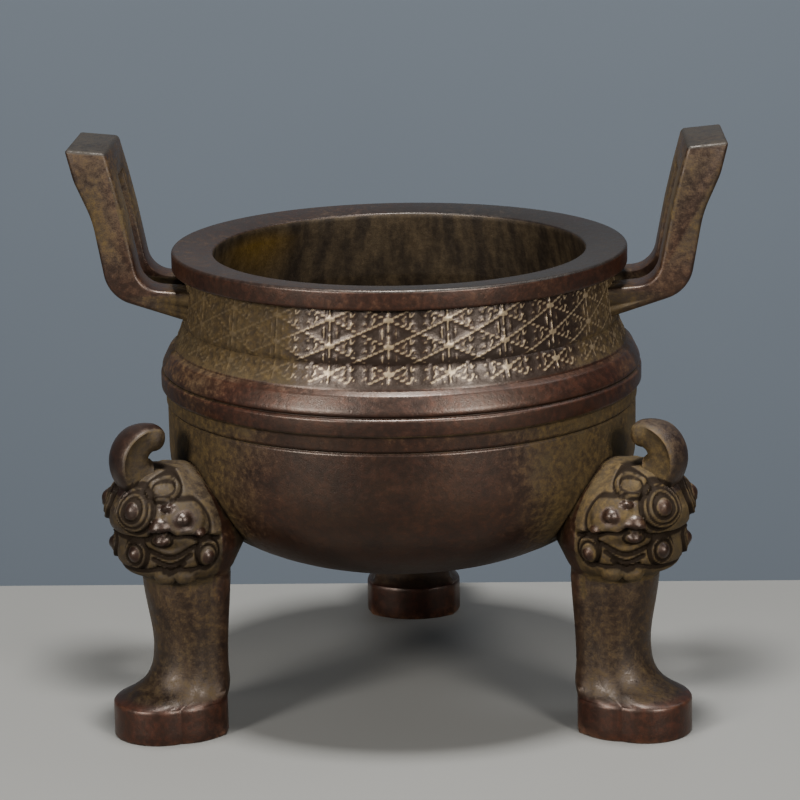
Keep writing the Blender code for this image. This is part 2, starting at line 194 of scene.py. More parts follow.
def rounded(points, radius, steps=3):
    """A profile of (radius, height) with its inner corners eased."""
    result = [points[0]]
    for before, corner, after in zip(points, points[1:], points[2:]):
        c = np.array(corner)
        back = np.array(before) - c
        ahead = np.array(after) - c
        lb = np.linalg.norm(back)
        la = np.linalg.norm(ahead)
        cut = min(radius, lb * 0.45, la * 0.45)
        p = c + back / lb * cut
        q = c + ahead / la * cut
        for i in range(steps + 1):
            t = i / steps
            result.append(tuple((1 - t) ** 2 * p + 2 * t * (1 - t) * c + t * t * q))
    result.append(points[-1])
    return result


# Points round the neck and round the rest of the vessel
N_FINE = 720
N_ROUND = 180


def vessel():
    bowl = [(0, BOWL_BOTTOM)] + oval(BOWL_RADIUS, BOWL_BOTTOM, BOWL_SPRING, 20)
    ridges = rounded([(BOWL_RADIUS, 66.0), (BOWL_RADIUS, 74.1), (56.5, 74.6), (57.3, 75.1), (57.3, 78.2),
                      (58.4, 78.9), (58.4, 82.5), (57.5, 83.1), (58.1, 83.6), (57.9, 84.6),
                      (56.3, 87.8), (55.0, 88.6)], 0.4)
    ridges += [(54.95, 88.9)]
    rim = rounded([(51.3, 107.0), (51.3, 107.2), (54.6, 107.2), (55.0, 107.7), (55.0, 111.5), (54.5, 112.0),
                   (50.0, 111.65), (45.0, 111.05), (44.95, 110.0), (45.5, 107.2), (48.4, 94.4), (50.6, 89.0),
                   (52.4, 79.0)], 0.5)
    inner = oval(INSIDE_RADIUS, INSIDE_FLOOR, BOWL_SPRING, 18)[::-1]
    rings = []

    def add(radius, z, count=N_ROUND):
        if radius == 0:
            rings.append([(0, 0, z * MM)])
            return
        a = np.arange(count) * 2 * math.pi / count
        rings.append(np.c_[radius * np.cos(a), radius * np.sin(a), np.full(count, z)] * MM)

    for radius, z in bowl + ridges:
        add(radius, z)
    a = np.arange(N_FINE) * 2 * math.pi / N_FINE
    for z in np.arange(89.25, NECK_TOP, 0.55):
        groove = 0.45 * bell(np.full(N_FINE, z - NECK_LINE), 0.6)
        radius = neck_radius(z) - 0.25 - groove + 0.32 * neck_relief(a, np.full(N_FINE, z))
        rings.append(np.c_[radius * np.cos(a), radius * np.sin(a), np.full(N_FINE, z)] * MM)
    for radius, z in rim + inner:
        add(radius, z)
    add(0, INSIDE_FLOOR)
    rings = [[tuple(p) for p in ring] for ring in rings]
    return stitched("censer_body", rings)


# Legs: foot, column and mask
HEAD = dict(reach=60.5, low=39.6, high=65.8, radius=17.1)
# Millimetres along the face for each degree round the head
ARC = math.radians(1) * 16.2
# Share of the head's height, with its radius in front and behind as shares of the largest
SHAPE = np.array([(0.0, 0.60, 0.68), (0.05, 0.76, 0.74), (0.12, 0.85, 0.79), (0.20, 0.895, 0.85),
                  (0.27, 0.90, 0.90), (0.36, 0.865, 0.90), (0.44, 0.93, 0.88), (0.54, 0.99, 0.84),
                  (0.64, 1.0, 0.77), (0.74, 0.93, 0.67), (0.83, 0.84, 0.54), (0.92, 0.72, 0.38),
                  (0.975, 0.58, 0.26), (1.0, 0.38, 0.12)])


def head_radius(angle, z):
    share = np.clip((z - HEAD["low"]) / (HEAD["high"] - HEAD["low"]), 0, 1)
    crown = smooth((share - 0.72) / 0.28)
    side = np.radians(mix(50, 25, crown))
    back = np.radians(mix(125, 100, crown))
    behind = smooth((np.abs(angle) - side) / (back - side))
    grid = np.linspace(0, 1, 105)
    front_of = np.interp(grid, SHAPE[:, 0], SHAPE[:, 1])
    back_of = np.interp(grid, SHAPE[:, 0], SHAPE[:, 2])
    kernel = np.array([1, 3, 5, 6, 5, 3, 1]) / 24
    front_of = np.convolve(np.pad(front_of, 3, "edge"), kernel, "valid")
    back_of = np.convolve(np.pad(back_of, 3, "edge"), kernel, "valid")
    front = np.interp(share, grid, front_of)
    rear = np.interp(share, grid, back_of)
    return HEAD["radius"] * mix(front, rear, behind)


def polyline(x, z, points):
    d = np.full_like(x, 99.0)
    for (x0, z0), (x1, z1) in zip(points, points[1:]):
        d = np.minimum(d, segment(x, z, x0, z0, x1, z1))
    return d


def curve(points, steps=6):
    """A smooth line through points, as many short segments."""
    p = [np.array(q, float) for q in points]
    p = [2 * p[0] - p[1]] + p + [2 * p[-1] - p[-2]]
    result = []
    for a, b, c, d in zip(p, p[1:], p[2:], p[3:]):
        for i in range(steps):
            t = i / steps
            result.append(tuple(0.5 * (2 * b + (c - a) * t + (2 * a - 5 * b + 4 * c - d) * t * t
                                       + (3 * b - a - 3 * c + d) * t ** 3)))
    return result + [tuple(p[-2])]


def mask_relief(angle, z):
    """Height of the mask's carving over the plain head, alike on both sides, and the share of its
    cut lines."""
    s = np.degrees(np.abs(angle))
    x = s * ARC

    def local(deg, height):
        return x - deg * ARC, z - height

    def ring(deg, height, wide, tall, rise, bar):
        dx, dz = local(deg, height)
        out = np.hypot(dx / wide, dz / tall)
        steep = np.maximum(np.hypot(dx / wide ** 2, dz / tall ** 2), 0.01)
        return rise * bell((out - 1) * out / steep, bar)

    def dome(deg, height, wide, tall, rise):
        dx, dz = local(deg, height)
        return rise * np.sqrt(np.clip(1 - (dx / wide) ** 2 - (dz / tall) ** 2, 0, 1))

    def disc(deg, height, wide, tall, rise):
        dx, dz = local(deg, height)
        return rise * smooth((1.15 - np.hypot(dx / wide, dz / tall)) / 0.3)

    h = np.zeros_like(x)
    raised = [
        disc(26, 58.0, 5.6, 5.4, 0.8), disc(26, 58.0, 3.4, 3.3, 1.0), dome(26, 58.0, 1.7, 1.7, 1.6),
        disc(23, 47.1, 3.9, 3.8, 0.8), dome(23, 47.1, 1.6, 1.6, 1.45),
        dome(51, 62.9, 6.2, 3.0, 1.1), dome(52.5, 63.1, 1.3, 0.9, 1.5),
        disc(72, 56.6, 4.9, 4.4, 0.7), dome(71, 56.3, 1.7, 1.5, 1.5), dome(58, 58.9, 1.8, 0.8, 1.3),
        dome(50.7, 54.8, 2.6, 2.0, 1.5), disc(51, 51.1, 3.3, 2.0, 0.6), dome(51, 51.3, 1.8, 1.1, 1.6),
        dome(84, 52.9, 1.5, 1.1, 1.0),
        disc(92, 47.4, 2.9, 4.0, 0.7), dome(91, 46.6, 1.6, 1.7, 1.3),
        dome(50.5, 41.4, 3.0, 2.0, 1.5), dome(71.5, 41.4, 3.0, 2.0, 1.5),
    ]
    for form in raised:
        h = np.maximum(h, form)
    carved = [ring(26, 58.0, 5.6, 5.4, 0.75, 0.8), ring(26, 58.0, 4.1, 4.0, 0.5, 0.65),
              ring(26, 58.0, 2.5, 2.5, 0.8, 0.8), ring(23, 47.1, 3.9, 3.8, 0.7, 0.75),
              ring(23, 47.1, 2.4, 2.4, 0.7, 0.7), ring(51, 62.9, 5.8, 2.7, 0.6, 0.7),
              ring(52, 63.0, 3.3, 1.5, 0.5, 0.55), ring(92, 47.4, 3.0, 4.1, 0.7, 0.75),
              ring(91, 46.8, 2.3, 2.7, 0.5, 0.65), ring(51, 51.1, 2.6, 1.6, 0.6, 0.6)]
    lines = np.zeros_like(x)
    for form in carved:
        h = h - form
        lines = np.maximum(lines, 1.35 * form)
    upper_lip = curve([(104 * ARC, 50.6), (86 * ARC, 51.0), (74 * ARC, 52.2), (64 * ARC, 52.2),
                       (57 * ARC, 53.4), (51 * ARC, 53.3), (45 * ARC, 52.8), (38 * ARC, 51.2),
                       (24 * ARC, 50.6), (0, 50.4)])
    h += 0.35 * bell(polyline(x, z - 1.4, upper_lip), 1.0) * smooth((s - 34) / 8)
    cut = bell(polyline(x, z, upper_lip), 0.9)
    h -= cut
    lines = np.maximum(lines, cut)
    for drop, start, end in ((0.0, 80, 38), (2.0, 76, 42), (4.0, 70, 46)):
        middle = mix(start, end, 0.5)
        groove = curve([(start * ARC, 49.4 - drop), (middle * ARC, 47.0 - drop), (end * ARC, 48.4 - drop)])
        cut = bell(polyline(x, z, groove), 0.9)
        h -= 0.7 * cut
        lines = np.maximum(lines, cut)
        h += 0.3 * bell(polyline(x, z - 1.1, groove), 0.8)
    chin = curve([(100 * ARC, 44.4), (78 * ARC, 43.7), (60 * ARC, 43.9), (44 * ARC, 43.8),
                  (30 * ARC, 43.0), (0, 42.4)])
    cut = bell(polyline(x, z, chin), 0.8)
    h -= 0.6 * cut
    lines = np.maximum(lines, cut)
    brow = curve([(66 * ARC, 60.8), (84 * ARC, 60.2), (94 * ARC, 56.8), (95 * ARC, 53.2),
                  (88 * ARC, 51.2)])
    cut = bell(polyline(x, z, brow), 0.8)
    h -= 0.45 * cut
    lines = np.maximum(lines, 0.7 * cut)
    fade = smooth((118 - s) / 16)
    return h * fade, lines * fade


def mask_bosses(angle, z):
    """1 on the mask's smooth bosses, which are worn bright."""
    x = np.degrees(np.abs(angle)) * ARC
    share = np.zeros_like(x)
    for deg, height, wide, tall in ((26, 58.0, 2.0, 2.0), (23, 47.1, 1.9, 1.9), (71, 56.3, 2.6, 2.4),
                                    (57, 59.1, 2.2, 1.1), (50.7, 54.8, 2.7, 2.1), (51, 51.3, 2.0, 1.3),
                                    (84, 52.9, 1.6, 1.3), (91, 46.6, 1.6, 1.7)):
        d = np.hypot((x - deg * ARC) / wide, (z - height) / tall)
        share = np.maximum(share, smooth((1.15 - d) / 0.4))
    return share


def ring_turns():
    """Angles round the head: close together in front and at the sides, wide behind."""
    front = np.linspace(-114, 114, 150)
    back = np.linspace(114, 246, 18)[1:-1]
    return np.radians(np.r_[front, back])


def d_section(inner, outer, width, corner, turns):
    """Points of the foot and column outline, met by rays at the given turns from its middle."""
    half = width / 2
    centre = outer - half
    mid = (inner + outer) / 2
    round_turns = np.linspace(-math.pi / 2, math.pi / 2, 61)
    fine = [(centre + half * math.cos(t), half * math.sin(t)) for t in round_turns]
    fine += [(inner + corner * 2.2, half)]
    near = inner + corner
    side = half - corner
    left_turns = np.linspace(math.pi / 2, math.pi, 9)
    fine += [(near + corner * math.cos(t), side + corner * math.sin(t)) for t in left_turns]
    right_turns = np.linspace(math.pi, 1.5 * math.pi, 9)
    fine += [(near + corner * math.cos(t), -side + corner * math.sin(t)) for t in right_turns]
    fine += [(inner + corner * 2.2, -half)]
    p = np.array(fine)
    at = np.arctan2(p[:, 1], p[:, 0] - mid)
    dist = np.hypot(p[:, 0] - mid, p[:, 1])
    order = np.argsort(at)
    at = at[order]
    dist = dist[order]
    at = np.r_[at - 2 * math.pi, at, at + 2 * math.pi]
    dist = np.r_[dist, dist, dist]
    wrapped = np.arctan2(np.sin(turns), np.cos(turns))
    radius = np.interp(wrapped, at, dist)
    return mid + radius * np.cos(turns), radius * np.sin(turns)


def column_points(z, turns):
    """Outline of foot and column at a height: wide at the foot, waisted, and swelling to the head."""
    spread = math.exp(-max(z - 8.6, 0) / 2.9)
    half_way = HEAD["low"] / 2
    swell = 1.2 * float(smooth((z - half_way) / half_way))
    lean = 1 - min(z / HEAD["low"], 1)
    inner = mix(51.2, 54.8, max(spread, 0.45 * lean))
    outer = mix(67.1 + 2 * swell, 78.1, spread)
    width = mix(18.2 + 2 * swell, 22.6, spread)
    corner = mix(2.8, 0.8, spread)
    return d_section(inner, outer, width, corner, turns)


def leg():
    turns = ring_turns()
    wrapped = np.arctan2(np.sin(turns), np.cos(turns))
    rings = []
    edge = {0.0: 0.35, 0.12: 0.12, 0.4: 0.0, 3.0: 0.0, 5.5: 0.0, 7.6: 0.0, 8.2: 0.06, 8.5: 0.25}
    heights = list(edge) + list(np.arange(8.8, 17, 0.9)) + list(np.arange(17.5, 37.5, 2.2))
    for z in heights:
        x, y = column_points(z, turns)
        cut = edge.get(z, 0)
        n = np.hypot(x - FOOT_MIDDLE, y)
        x = FOOT_MIDDLE + (x - FOOT_MIDDLE) * (1 - cut / n)
        y = y * (1 - cut / n)
        rings.append(np.c_[x, y, np.full_like(x, z)])
    for z in np.r_[np.linspace(38.0, 64.6, 62), 65.0, 65.35, 65.6, 65.8]:
        zz = np.full_like(wrapped, z)
        radius = head_radius(wrapped, zz)
        step = 0.3
        slope = (head_radius(wrapped, zz + step) - head_radius(wrapped, zz - step)) / (2 * step)
        lift = mask_relief(wrapped, zz)[0]
        n = np.sqrt(1 + slope ** 2)
        x = HEAD["reach"] + (radius + lift / n) * np.cos(wrapped)
        y = (radius + lift / n) * np.sin(wrapped)
        up = z - lift * slope / n
        if z < 41.6:
            cx, cy = column_points(z, turns)
            t = smooth(np.full_like(x, (z - 38.0) / 3.2))
            bead = np.maximum(0, lift) * (1 - t)
            x = mix(cx + bead * np.cos(wrapped), x, t)
            y = mix(cy + bead * np.sin(wrapped), y, t)
            up = mix(z, up, t)
        rings.append(np.c_[x, y, up if np.ndim(up) else np.full_like(x, up)])
    rings = [[tuple(p * MM) for p in ring] for ring in rings]
    return stitched("leg", rings)


# Half of the crest's section: outward and sideways, as shares of half its thickness and width
CREST_SECTION = [(1.0, 0.0), (0.985, 0.32), (0.93, 0.62), (0.84, 0.86), (0.76, 0.97), (0.70, 1.0),
                 (0.63, 0.955), (0.45, 0.90), (0.1, 0.86), (-0.3, 0.85), (-0.60, 0.80), (-0.82, 0.64),
                 (-0.95, 0.38), (-1.0, 0.0)]


def crest():
    """The curled hook: flat sides, a sharp line along each, a sloping outer band and a round tip."""
    section = CREST_SECTION + [(c, -w) for c, w in CREST_SECTION[-2:0:-1]]
    rings = []
    steps = 28
    caps = 7
    for i in range(steps + caps):
        share = min(i / steps, 1)
        tip = max(i - steps, 0) / (caps - 1) * math.radians(84)
        turn = math.radians(mix(*CREST_TURN, share))
        blunt = math.cos(tip)
        thick = mix(*CREST_THICKNESS, share) / 2
        out = np.array([math.cos(turn), 0, math.sin(turn)])
        onward = np.array([-math.sin(turn), 0, math.cos(turn)])
        centre = np.array([CREST_CENTRE[0], 0, CREST_CENTRE[1]]) + out * mix(*CREST_REACH, share)
        centre = centre + onward * thick * math.sin(tip) * 0.95
        plump = smooth(np.array((share - 0.75) / 0.25))
        ring = []
        for c, w in section:
            oval_w = math.copysign(math.sqrt(max(1 - c * c, 0)), w) if w else 0
            across = mix(w, oval_w, 0.65 * float(plump)) * CREST_HALF_WIDTH * blunt
            ring.append(tuple((centre + out * thick * c * blunt + np.array([0, across, 0])) * MM))
        rings.append(ring)
    return stitched("crest", rings)


def arc(before, corner, after, radius, steps):
    """Points of the arc that rounds a corner of a flat outline."""
    back = (before - corner).normalized()
    ahead = (after - corner).normalized()
    half_angle = back.angle(ahead) / 2
    centre = corner + (back + ahead).normalized() * radius / math.sin(half_angle)
    first = corner + back * radius / math.tan(half_angle) - centre
    sweep = math.pi - 2 * half_angle
    if back.x * ahead.y - back.y * ahead.x > 0:
        sweep = -sweep
    return [centre + Matrix.Rotation(sweep * i / steps, 2) @ first for i in range(steps + 1)]


def bevelled(obj, width, segments, angle):
    soften = obj.modifiers.new("edges", "BEVEL")
    soften.width = width
    soften.segments = segments
    soften.limit_method = "ANGLE"
    soften.angle_limit = math.radians(angle)
    apply(obj)


def apply(obj):
    graph = bpy.context.evaluated_depsgraph_get()
    result = bpy.data.meshes.new_from_object(obj.evaluated_get(graph))
    obj.modifiers.clear()
    obj.data = result


def combine(target, tool, operation="UNION"):
    step = target.modifiers.new("combine", "BOOLEAN")
    step.operation = operation
    step.solver = "MANIFOLD"
    step.object = tool
    apply(target)
    bpy.data.objects.remove(tool)


def handle():
    root_low = Vector((49.05, 95.7))
    root_high = Vector((49.05, 103.1))
    heel = Vector((69.2, 102.3))
    throat = Vector((61.5, 104.1))
    knee = Vector((72.4, 121.0))
    inner_knee = Vector((64.7, 121.0))
    tip = Vector((78.3, 138.0))
    inner_tip = Vector((68.6, 137.1))
    swell = knee.lerp(tip, 0.55) + Vector((0.8, 0))
    outline = [root_low] + arc(root_low, heel, knee, 8.9, 14)
    outline += arc(heel, knee, swell, 26.0, 5) + arc(knee, swell, tip, 16.0, 4)
    outline += [tip, inner_tip, inner_knee.lerp(inner_tip, 0.5) - Vector((0.12, 0)), inner_knee]
    outline += arc(inner_knee, throat, root_high, 6.2, 12) + [root_high]
    sides = (-HANDLE_HALF_WIDTH, HANDLE_HALF_WIDTH)
    rings = [[(p.x * MM, side * MM, p.y * MM) for p in outline] for side in sides]
    plate = stitched("handle", rings)
    bevelled(plate, 0.9 * MM, 3, 50)
    half = SLOT_HALF_WIDTH
    corners = [(-half, 88.0), (half, 88.0), (half, 130.2), (-half, 130.2)]
    rings = [[(x * MM, y * MM, z * MM) for y, z in corners] for x in (50.3, 98.0)]
    combine(plate, stitched("slot", rings), "DIFFERENCE")
    bevelled(plate, 0.35 * MM, 2, 60)
    return plate


def turned_copy(source, azimuth):
    mesh = source.data.copy()
    mesh.transform(Matrix.Rotation(azimuth, 4, "Z"))
    copy = bpy.data.objects.new(source.name + "_copy", mesh)
    bpy.context.scene.collection.objects.link(copy)
    return copy


def middle_of_wall():
    """A solid ending halfway through the vessel's wall, so that a leg cut by it stays out of the bowl."""
    a = np.arange(N_ROUND) * 2 * math.pi / N_ROUND
    top = 80.0
    rings = [[(0, 0, FLOOR_MIDDLE * MM)]]
    for radius, z in oval(WALL_MIDDLE, FLOOR_MIDDLE, BOWL_SPRING, 20) + [(WALL_MIDDLE, top)]:
        ring = np.c_[radius * np.cos(a), radius * np.sin(a), np.full(N_ROUND, z)] * MM
        rings.append([tuple(p) for p in ring])
    rings.append([(0, 0, top * MM)])
    return stitched("middle_of_wall", rings)


def build():
    body = vessel()
    first = leg()
    combine(first, crest())
    combine(first, middle_of_wall(), "DIFFERENCE")
    for degrees in LEG_AZIMUTHS:
        combine(body, turned_copy(first, math.radians(degrees)))
    bpy.data.objects.remove(first)
    grip = handle()
    for azimuth in (0, math.pi):
        combine(body, turned_copy(grip, azimuth))
    bpy.data.objects.remove(grip)
    body.name = "censer_casting"
    body.data.transform(Matrix.Translation((0, AXIS_Y, 0)))
    return body


def points_and_normals(mesh):
    p = np.empty(len(mesh.vertices) * 3)
    mesh.vertices.foreach_get("co", p)
    n = np.empty(len(mesh.vertices) * 3)
    mesh.vertices.foreach_get("normal", n)
    return p.reshape(-1, 3), n.reshape(-1, 3)


def bend_at_points(mesh, p, n):
    """How the surface bends at each point: above 0 on an edge, below 0 in a hollow."""
    edges = np.empty(len(mesh.edges) * 2, dtype=int)
    mesh.edges.foreach_get("vertices", edges)
    a, b = edges.reshape(-1, 2).T
    link = p[b] - p[a]
    length = np.linalg.norm(link, axis=1) + 1e-9
    bend = np.zeros(len(p))
    weight = np.zeros(len(p))
    np.add.at(bend, a, -(n[a] * link).sum(1) / length)
    np.add.at(bend, b, (n[b] * link).sum(1) / length)
    np.add.at(weight, a, 1)
    np.add.at(weight, b, 1)
    bend /= weight
    for _ in range(2):
        total = bend.copy()
        np.add.at(total, a, bend[b])
        np.add.at(total, b, bend[a])
        bend = total / (weight + 1)
    return bend


def zones(x, y, z, n):
    """Which part of the casting each point lies on, as masks by name."""
    r = np.hypot(x, y)
    outside = n[:, 0] * x + n[:, 1] * y > 0
    inside = (r < 52.6) & (z > 38.5) & ~outside & ~((z > 110.7) & (n[:, 2] > 0.4))
    upright = (r > 49.8) & (r < 56) & (np.abs(n[:, 2]) < 0.8)
    leg = ((r > 57.7) & (z < 79)) | (z < 33.5)
    return {
        "inside": inside,
        "rim": (z > NECK_TOP) & (r < 55.2) & (r > 44.5) & ~inside,
        "neck": (z > NECK_LOW) & (z < NECK_TOP) & upright & outside,
        "ridge": (z >= 78.6) & (z < NECK_LOW) & outside & (r < 58.8),
        "wall": (z < 78.6) & (r < 57.6) & (r > 5) & outside & ~inside,
        "handle": (r > 55.3) & (z > 93),
        "leg": leg,
        "head": leg & (z > 38),
        "column": leg & (z >= 9) & (z < 38),
        "foot": leg & (z < 9),
    }


def layered(base, zone, layers):
    """A value at each point: the base, covered in turn by each layer on its own zone."""
    for name, value in layers:
        base = np.where(zone[name], value, base)
    return base


def head_marks(x, y, z, head):
    """Shares of worn boss, of the crest's outer band and of cut line on the three heads."""
    polish = np.zeros(len(x))
    outer = np.zeros(len(x))
    carved = np.zeros(len(x))
    for degrees in LEG_AZIMUTHS:
        turn = math.radians(degrees)
        ahead = x * math.cos(turn) + y * math.sin(turn) - HEAD["reach"]
        aside = y * math.cos(turn) - x * math.sin(turn)
        angle = np.arctan2(aside, ahead)
        near = head & (np.hypot(ahead, aside) < 21) & (z < 66)
        polish[near] = mask_bosses(angle, z)[near]
        carved[near] = mask_relief(angle, z)[1][near]
        hook = head & (z > 60) & (np.abs(aside) < 4.6) & (ahead > -2)
        out = ahead + HEAD["reach"] - CREST_CENTRE[0]
        up = z - CREST_CENTRE[1]
        share = (np.degrees(np.arctan2(up, out)) - CREST_TURN[0]) / (CREST_TURN[1] - CREST_TURN[0])
        arris = mix(*CREST_REACH, share) + CREST_ARRIS * mix(*CREST_THICKNESS, share) / 2
        outer[hook] = smooth((np.hypot(out, up) - arris) / 0.5)[hook]
    return polish, outer, carved


def dust_marks(x, z, zone, polish, outer):
    """Share of khaki dust: most at the vessel's sides, on the left of the neck and on the heads."""
    wall = (0.06 + 0.80 * smooth((np.abs(x + 2) - 20) / 26)
            - 0.25 * smooth((46 - z) / 10) + 0.12 * smooth((z - 66) / 8)
            + 0.35 * smooth((x - 28) / 12) * smooth((66 - z) / 12))
    neck = 0.12 + 0.85 * smooth((-x - 14) / 16) + 0.6 * smooth((x - 36) / 10)
    ridge = 0.08 + 0.45 * smooth((-x - 30) / 20) + 0.3 * smooth((x - 44) / 12)
    head = 0.68 + 0.22 * (x > 0) - 0.7 * polish - 0.5 * outer
    handle = 0.35 + 0.45 * smooth((z - 108) / 8) - 0.25 * smooth((z - 126) / 6)
    return layered(0.2, zone, [("wall", wall), ("neck", neck), ("ridge", ridge), ("rim", 0.22),
                               ("inside", 0.42), ("leg", 0.42), ("head", head), ("foot", 0.06),
                               ("handle", handle)])


def dark_tone_and_shade_marks(x, z, n, zone, polish, outer):
    """Share of near-black: painted shade on the up-facing tops of rim and handles and on the ridge's middle,
    and a darker tone on the left head and the crest's outer band.
    """
    # Painted shade: the up-facing tops of rim and handles are blackened where the overhead lamp lights them
    top = (n[:, 2] > 0.35) & ((zone["rim"] & (z > 110.8)) | (zone["handle"] & (z > 134)))
    tops = top * (0.9 - 0.35 * smooth((-x + 10) / 40) * (z < 115))
    left_head = zone["head"] * mix(0.32, 0.0, smooth((x + 10) / 20)) * (1 - 0.6 * polish)
    # Painted shade: the ridge's middle, which the overhead lamp lights, is darkened
    middle = 0.25 * (zone["ridge"] & (np.abs(x + 2) < 9))
    return np.maximum.reduce([tops, left_head, 0.5 * outer, middle])


def warm_marks(x, z, zone, polish, outer):
    """Share of red metal, and inside of ochre: most on the feet, the rim and the ridges."""
    wall = 0.45 + 0.4 * smooth((46 - z) / 8)
    handle = 0.65 - 0.35 * smooth((z - 110) / 8) + 0.2 * smooth((z - 128) / 6)
    head = 0.35 + 0.6 * polish + 0.4 * outer
    inside = 0.15 + 0.85 * bell((x + 36) / 15, 1) * bell((z - 103) / 10, 1)
    warm = layered(0.35, zone, [("rim", 0.75), ("ridge", 0.75), ("wall", wall), ("foot", 1.0),
                                ("column", 0.15), ("handle", handle), ("head", head),
                                ("inside", inside)])
    return warm * (1 - 0.6 * polish)


def surface_marks(obj):
    """Store on each point what the material needs to know of its place."""
    mesh = obj.data
    p, n = points_and_normals(mesh)
    bend = bend_at_points(mesh, p, n)
    x = p[:, 0] * 1000
    y = p[:, 1] * 1000 - AXIS_Y * 1000
    z = p[:, 2] * 1000
    zone = zones(x, y, z, n)
    polish, outer, carved = head_marks(x, y, z, zone["head"])
    # Near-black share: painted shade on the tops and the ridge's middle, a darker tone on the left head and
    # the crest's outer band
    dark_tone_and_shade = dark_tone_and_shade_marks(x, z, n, zone, polish, outer)
    worn = bend * 3.2 - 0.55 * polish - 0.15 * zone["head"] - 0.8 * dark_tone_and_shade
    marks = {
        "edge_mark": worn * np.where(zone["handle"], 0.35, 1),
        # Hollows and the mask's cut lines: more dust there, and painted shade in the material
        "hollow_mark": np.maximum(-bend * 3.6, 0.9 * carved - 0.5 * polish),
        "relief_mark": np.where(zone["neck"], neck_relief(np.arctan2(y, x), z), 0),
        "neck_mark": zone["neck"],
        "dust_mark": dust_marks(x, z, zone, polish, outer),
        "warm_mark": warm_marks(x, z, zone, polish, outer),
        "inside_mark": zone["inside"],
        "dark_tone_and_shade_mark": dark_tone_and_shade,
    }
    for name, values in marks.items():
        layer = mesh.attributes.new(name, "FLOAT", "POINT")
        layer.data.foreach_set("value", np.clip(values * 1.0, 0, 1).astype(np.float32))


class Nodes:
    """A material's node tree, with short ways to add to it."""

    def __init__(self, name):
        self.material = bpy.data.materials.new(name)
        self.material.use_nodes = True
        self.tree = self.material.node_tree
        self.shader = self.tree.nodes["Principled BSDF"]

    def put(self, socket, value):
        if isinstance(value, bpy.types.NodeSocket):
            self.tree.links.new(value, socket)
        elif isinstance(value, tuple) and len(value) == 3 and len(socket.default_value) == 4:
            socket.default_value = (*value, 1)
        else:
            socket.default_value = value

    def finish(self, name, value):
        """Give the shader's named input its value."""
        self.put(self.shader.inputs[name], value)

    def math(self, kind, *values, clamp=False):
        node = self.tree.nodes.new("ShaderNodeMath")
        node.operation = kind
        node.use_clamp = clamp
        for socket, value in zip(node.inputs, values):
            self.put(socket, value)
        return node.outputs[0]

    def plus(self, first, second):
        return self.math("ADD", first, second)

    def minus(self, first, second):
        return self.math("SUBTRACT", first, second)

    def times(self, first, second):
        return self.math("MULTIPLY", first, second)

    def step(self, value, low, high):
        """0 below low, 1 above high, eased between."""
        node = self.tree.nodes.new("ShaderNodeMapRange")
        node.interpolation_type = "SMOOTHSTEP"
        self.put(node.inputs["Value"], value)
        self.put(node.inputs["From Min"], low)
        self.put(node.inputs["From Max"], high)
        return node.outputs["Result"]

    def blend(self, share, first, second):
        node = self.tree.nodes.new("ShaderNodeMix")
        node.data_type = "RGBA"
        self.put(node.inputs["Factor"], share)
        self.put(node.inputs[6], first)
        self.put(node.inputs[7], second)
        return node.outputs[2]

    def mark(self, name):
        node = self.tree.nodes.new("ShaderNodeAttribute")
        node.attribute_name = name
        return node.outputs["Fac"]

    def place(self, scale=(1, 1, 1)):
        coords = self.tree.nodes.new("ShaderNodeTexCoord")
        mapping = self.tree.nodes.new("ShaderNodeMapping")
        mapping.inputs["Scale"].default_value = scale
        self.tree.links.new(coords.outputs["Object"], mapping.inputs["Vector"])
        return mapping.outputs["Vector"]

    def noise(self, vector, scale, detail=4, rough=0.55):
        node = self.tree.nodes.new("ShaderNodeTexNoise")
        self.put(node.inputs["Vector"], vector)
        self.put(node.inputs["Scale"], scale)
        self.put(node.inputs["Detail"], detail)
        self.put(node.inputs["Roughness"], rough)
        return node.outputs["Fac"]

    def cells(self, vector, scale):
        node = self.tree.nodes.new("ShaderNodeTexVoronoi")
        self.put(node.inputs["Vector"], vector)
        self.put(node.inputs["Scale"], scale)
        return node.outputs["Distance"]


# Colours of the bronze and of painted shade, from dark to light where there are several
BROWN = (0.0060, 0.0026, 0.0012), (0.0180, 0.0080, 0.0036)
RED = (0.0150, 0.0032, 0.0013), (0.0330, 0.0078, 0.0028)
LINING = (0.006, 0.0036, 0.002), (0.030, 0.0205, 0.0105)
OCHRE = (0.070, 0.040, 0.004)
KHAKI = (0.0180, 0.0112, 0.0030), (0.0440, 0.0290, 0.0092)
PALE_KHAKI = (0.0310, 0.0225, 0.0090)
SPECK = (0.006, 0.0045, 0.0035)
# Near-black for painted shade on the tops and the ridge's middle, and for a darker tone on the left head
DARK_TONE_AND_SHADE = (0.004, 0.004, 0.004)
# Painted shade in hollows and in the mask's cut lines
HOLLOW_SHADE = (0.0045, 0.0028, 0.0018)
NECK_GROUND = (0.010, 0.0055, 0.0035)
NECK_LINES = (0.07, 0.050, 0.027), (0.25, 0.195, 0.125)
WORN = (0.12, 0.085, 0.048), (0.21, 0.100, 0.055)


def bare_metal(m, broad, blotch, grain):
    """Brown bronze with red patches outside, and a dark, streaky lining with an ochre patch."""
    warm = m.mark("warm_mark")
    brown = m.blend(m.step(blotch, 0.35, 0.68), *BROWN)
    red = m.blend(m.step(grain, 0.35, 0.7), *RED)
    patches = m.times(m.minus(broad, 0.5), 1.3)
    red_share = m.math("MULTIPLY", m.plus(warm, patches), 0.7, clamp=True)
    streak = m.noise(m.place((1, 1, 0.16)), 240, 4, 0.6)
    lining = m.blend(m.step(streak, 0.35, 0.65), *LINING)
    lining = m.blend(m.step(warm, 0.3, 0.9), lining, OCHRE)
    return m.blend(m.mark("inside_mark"), m.blend(red_share, brown, red), lining)


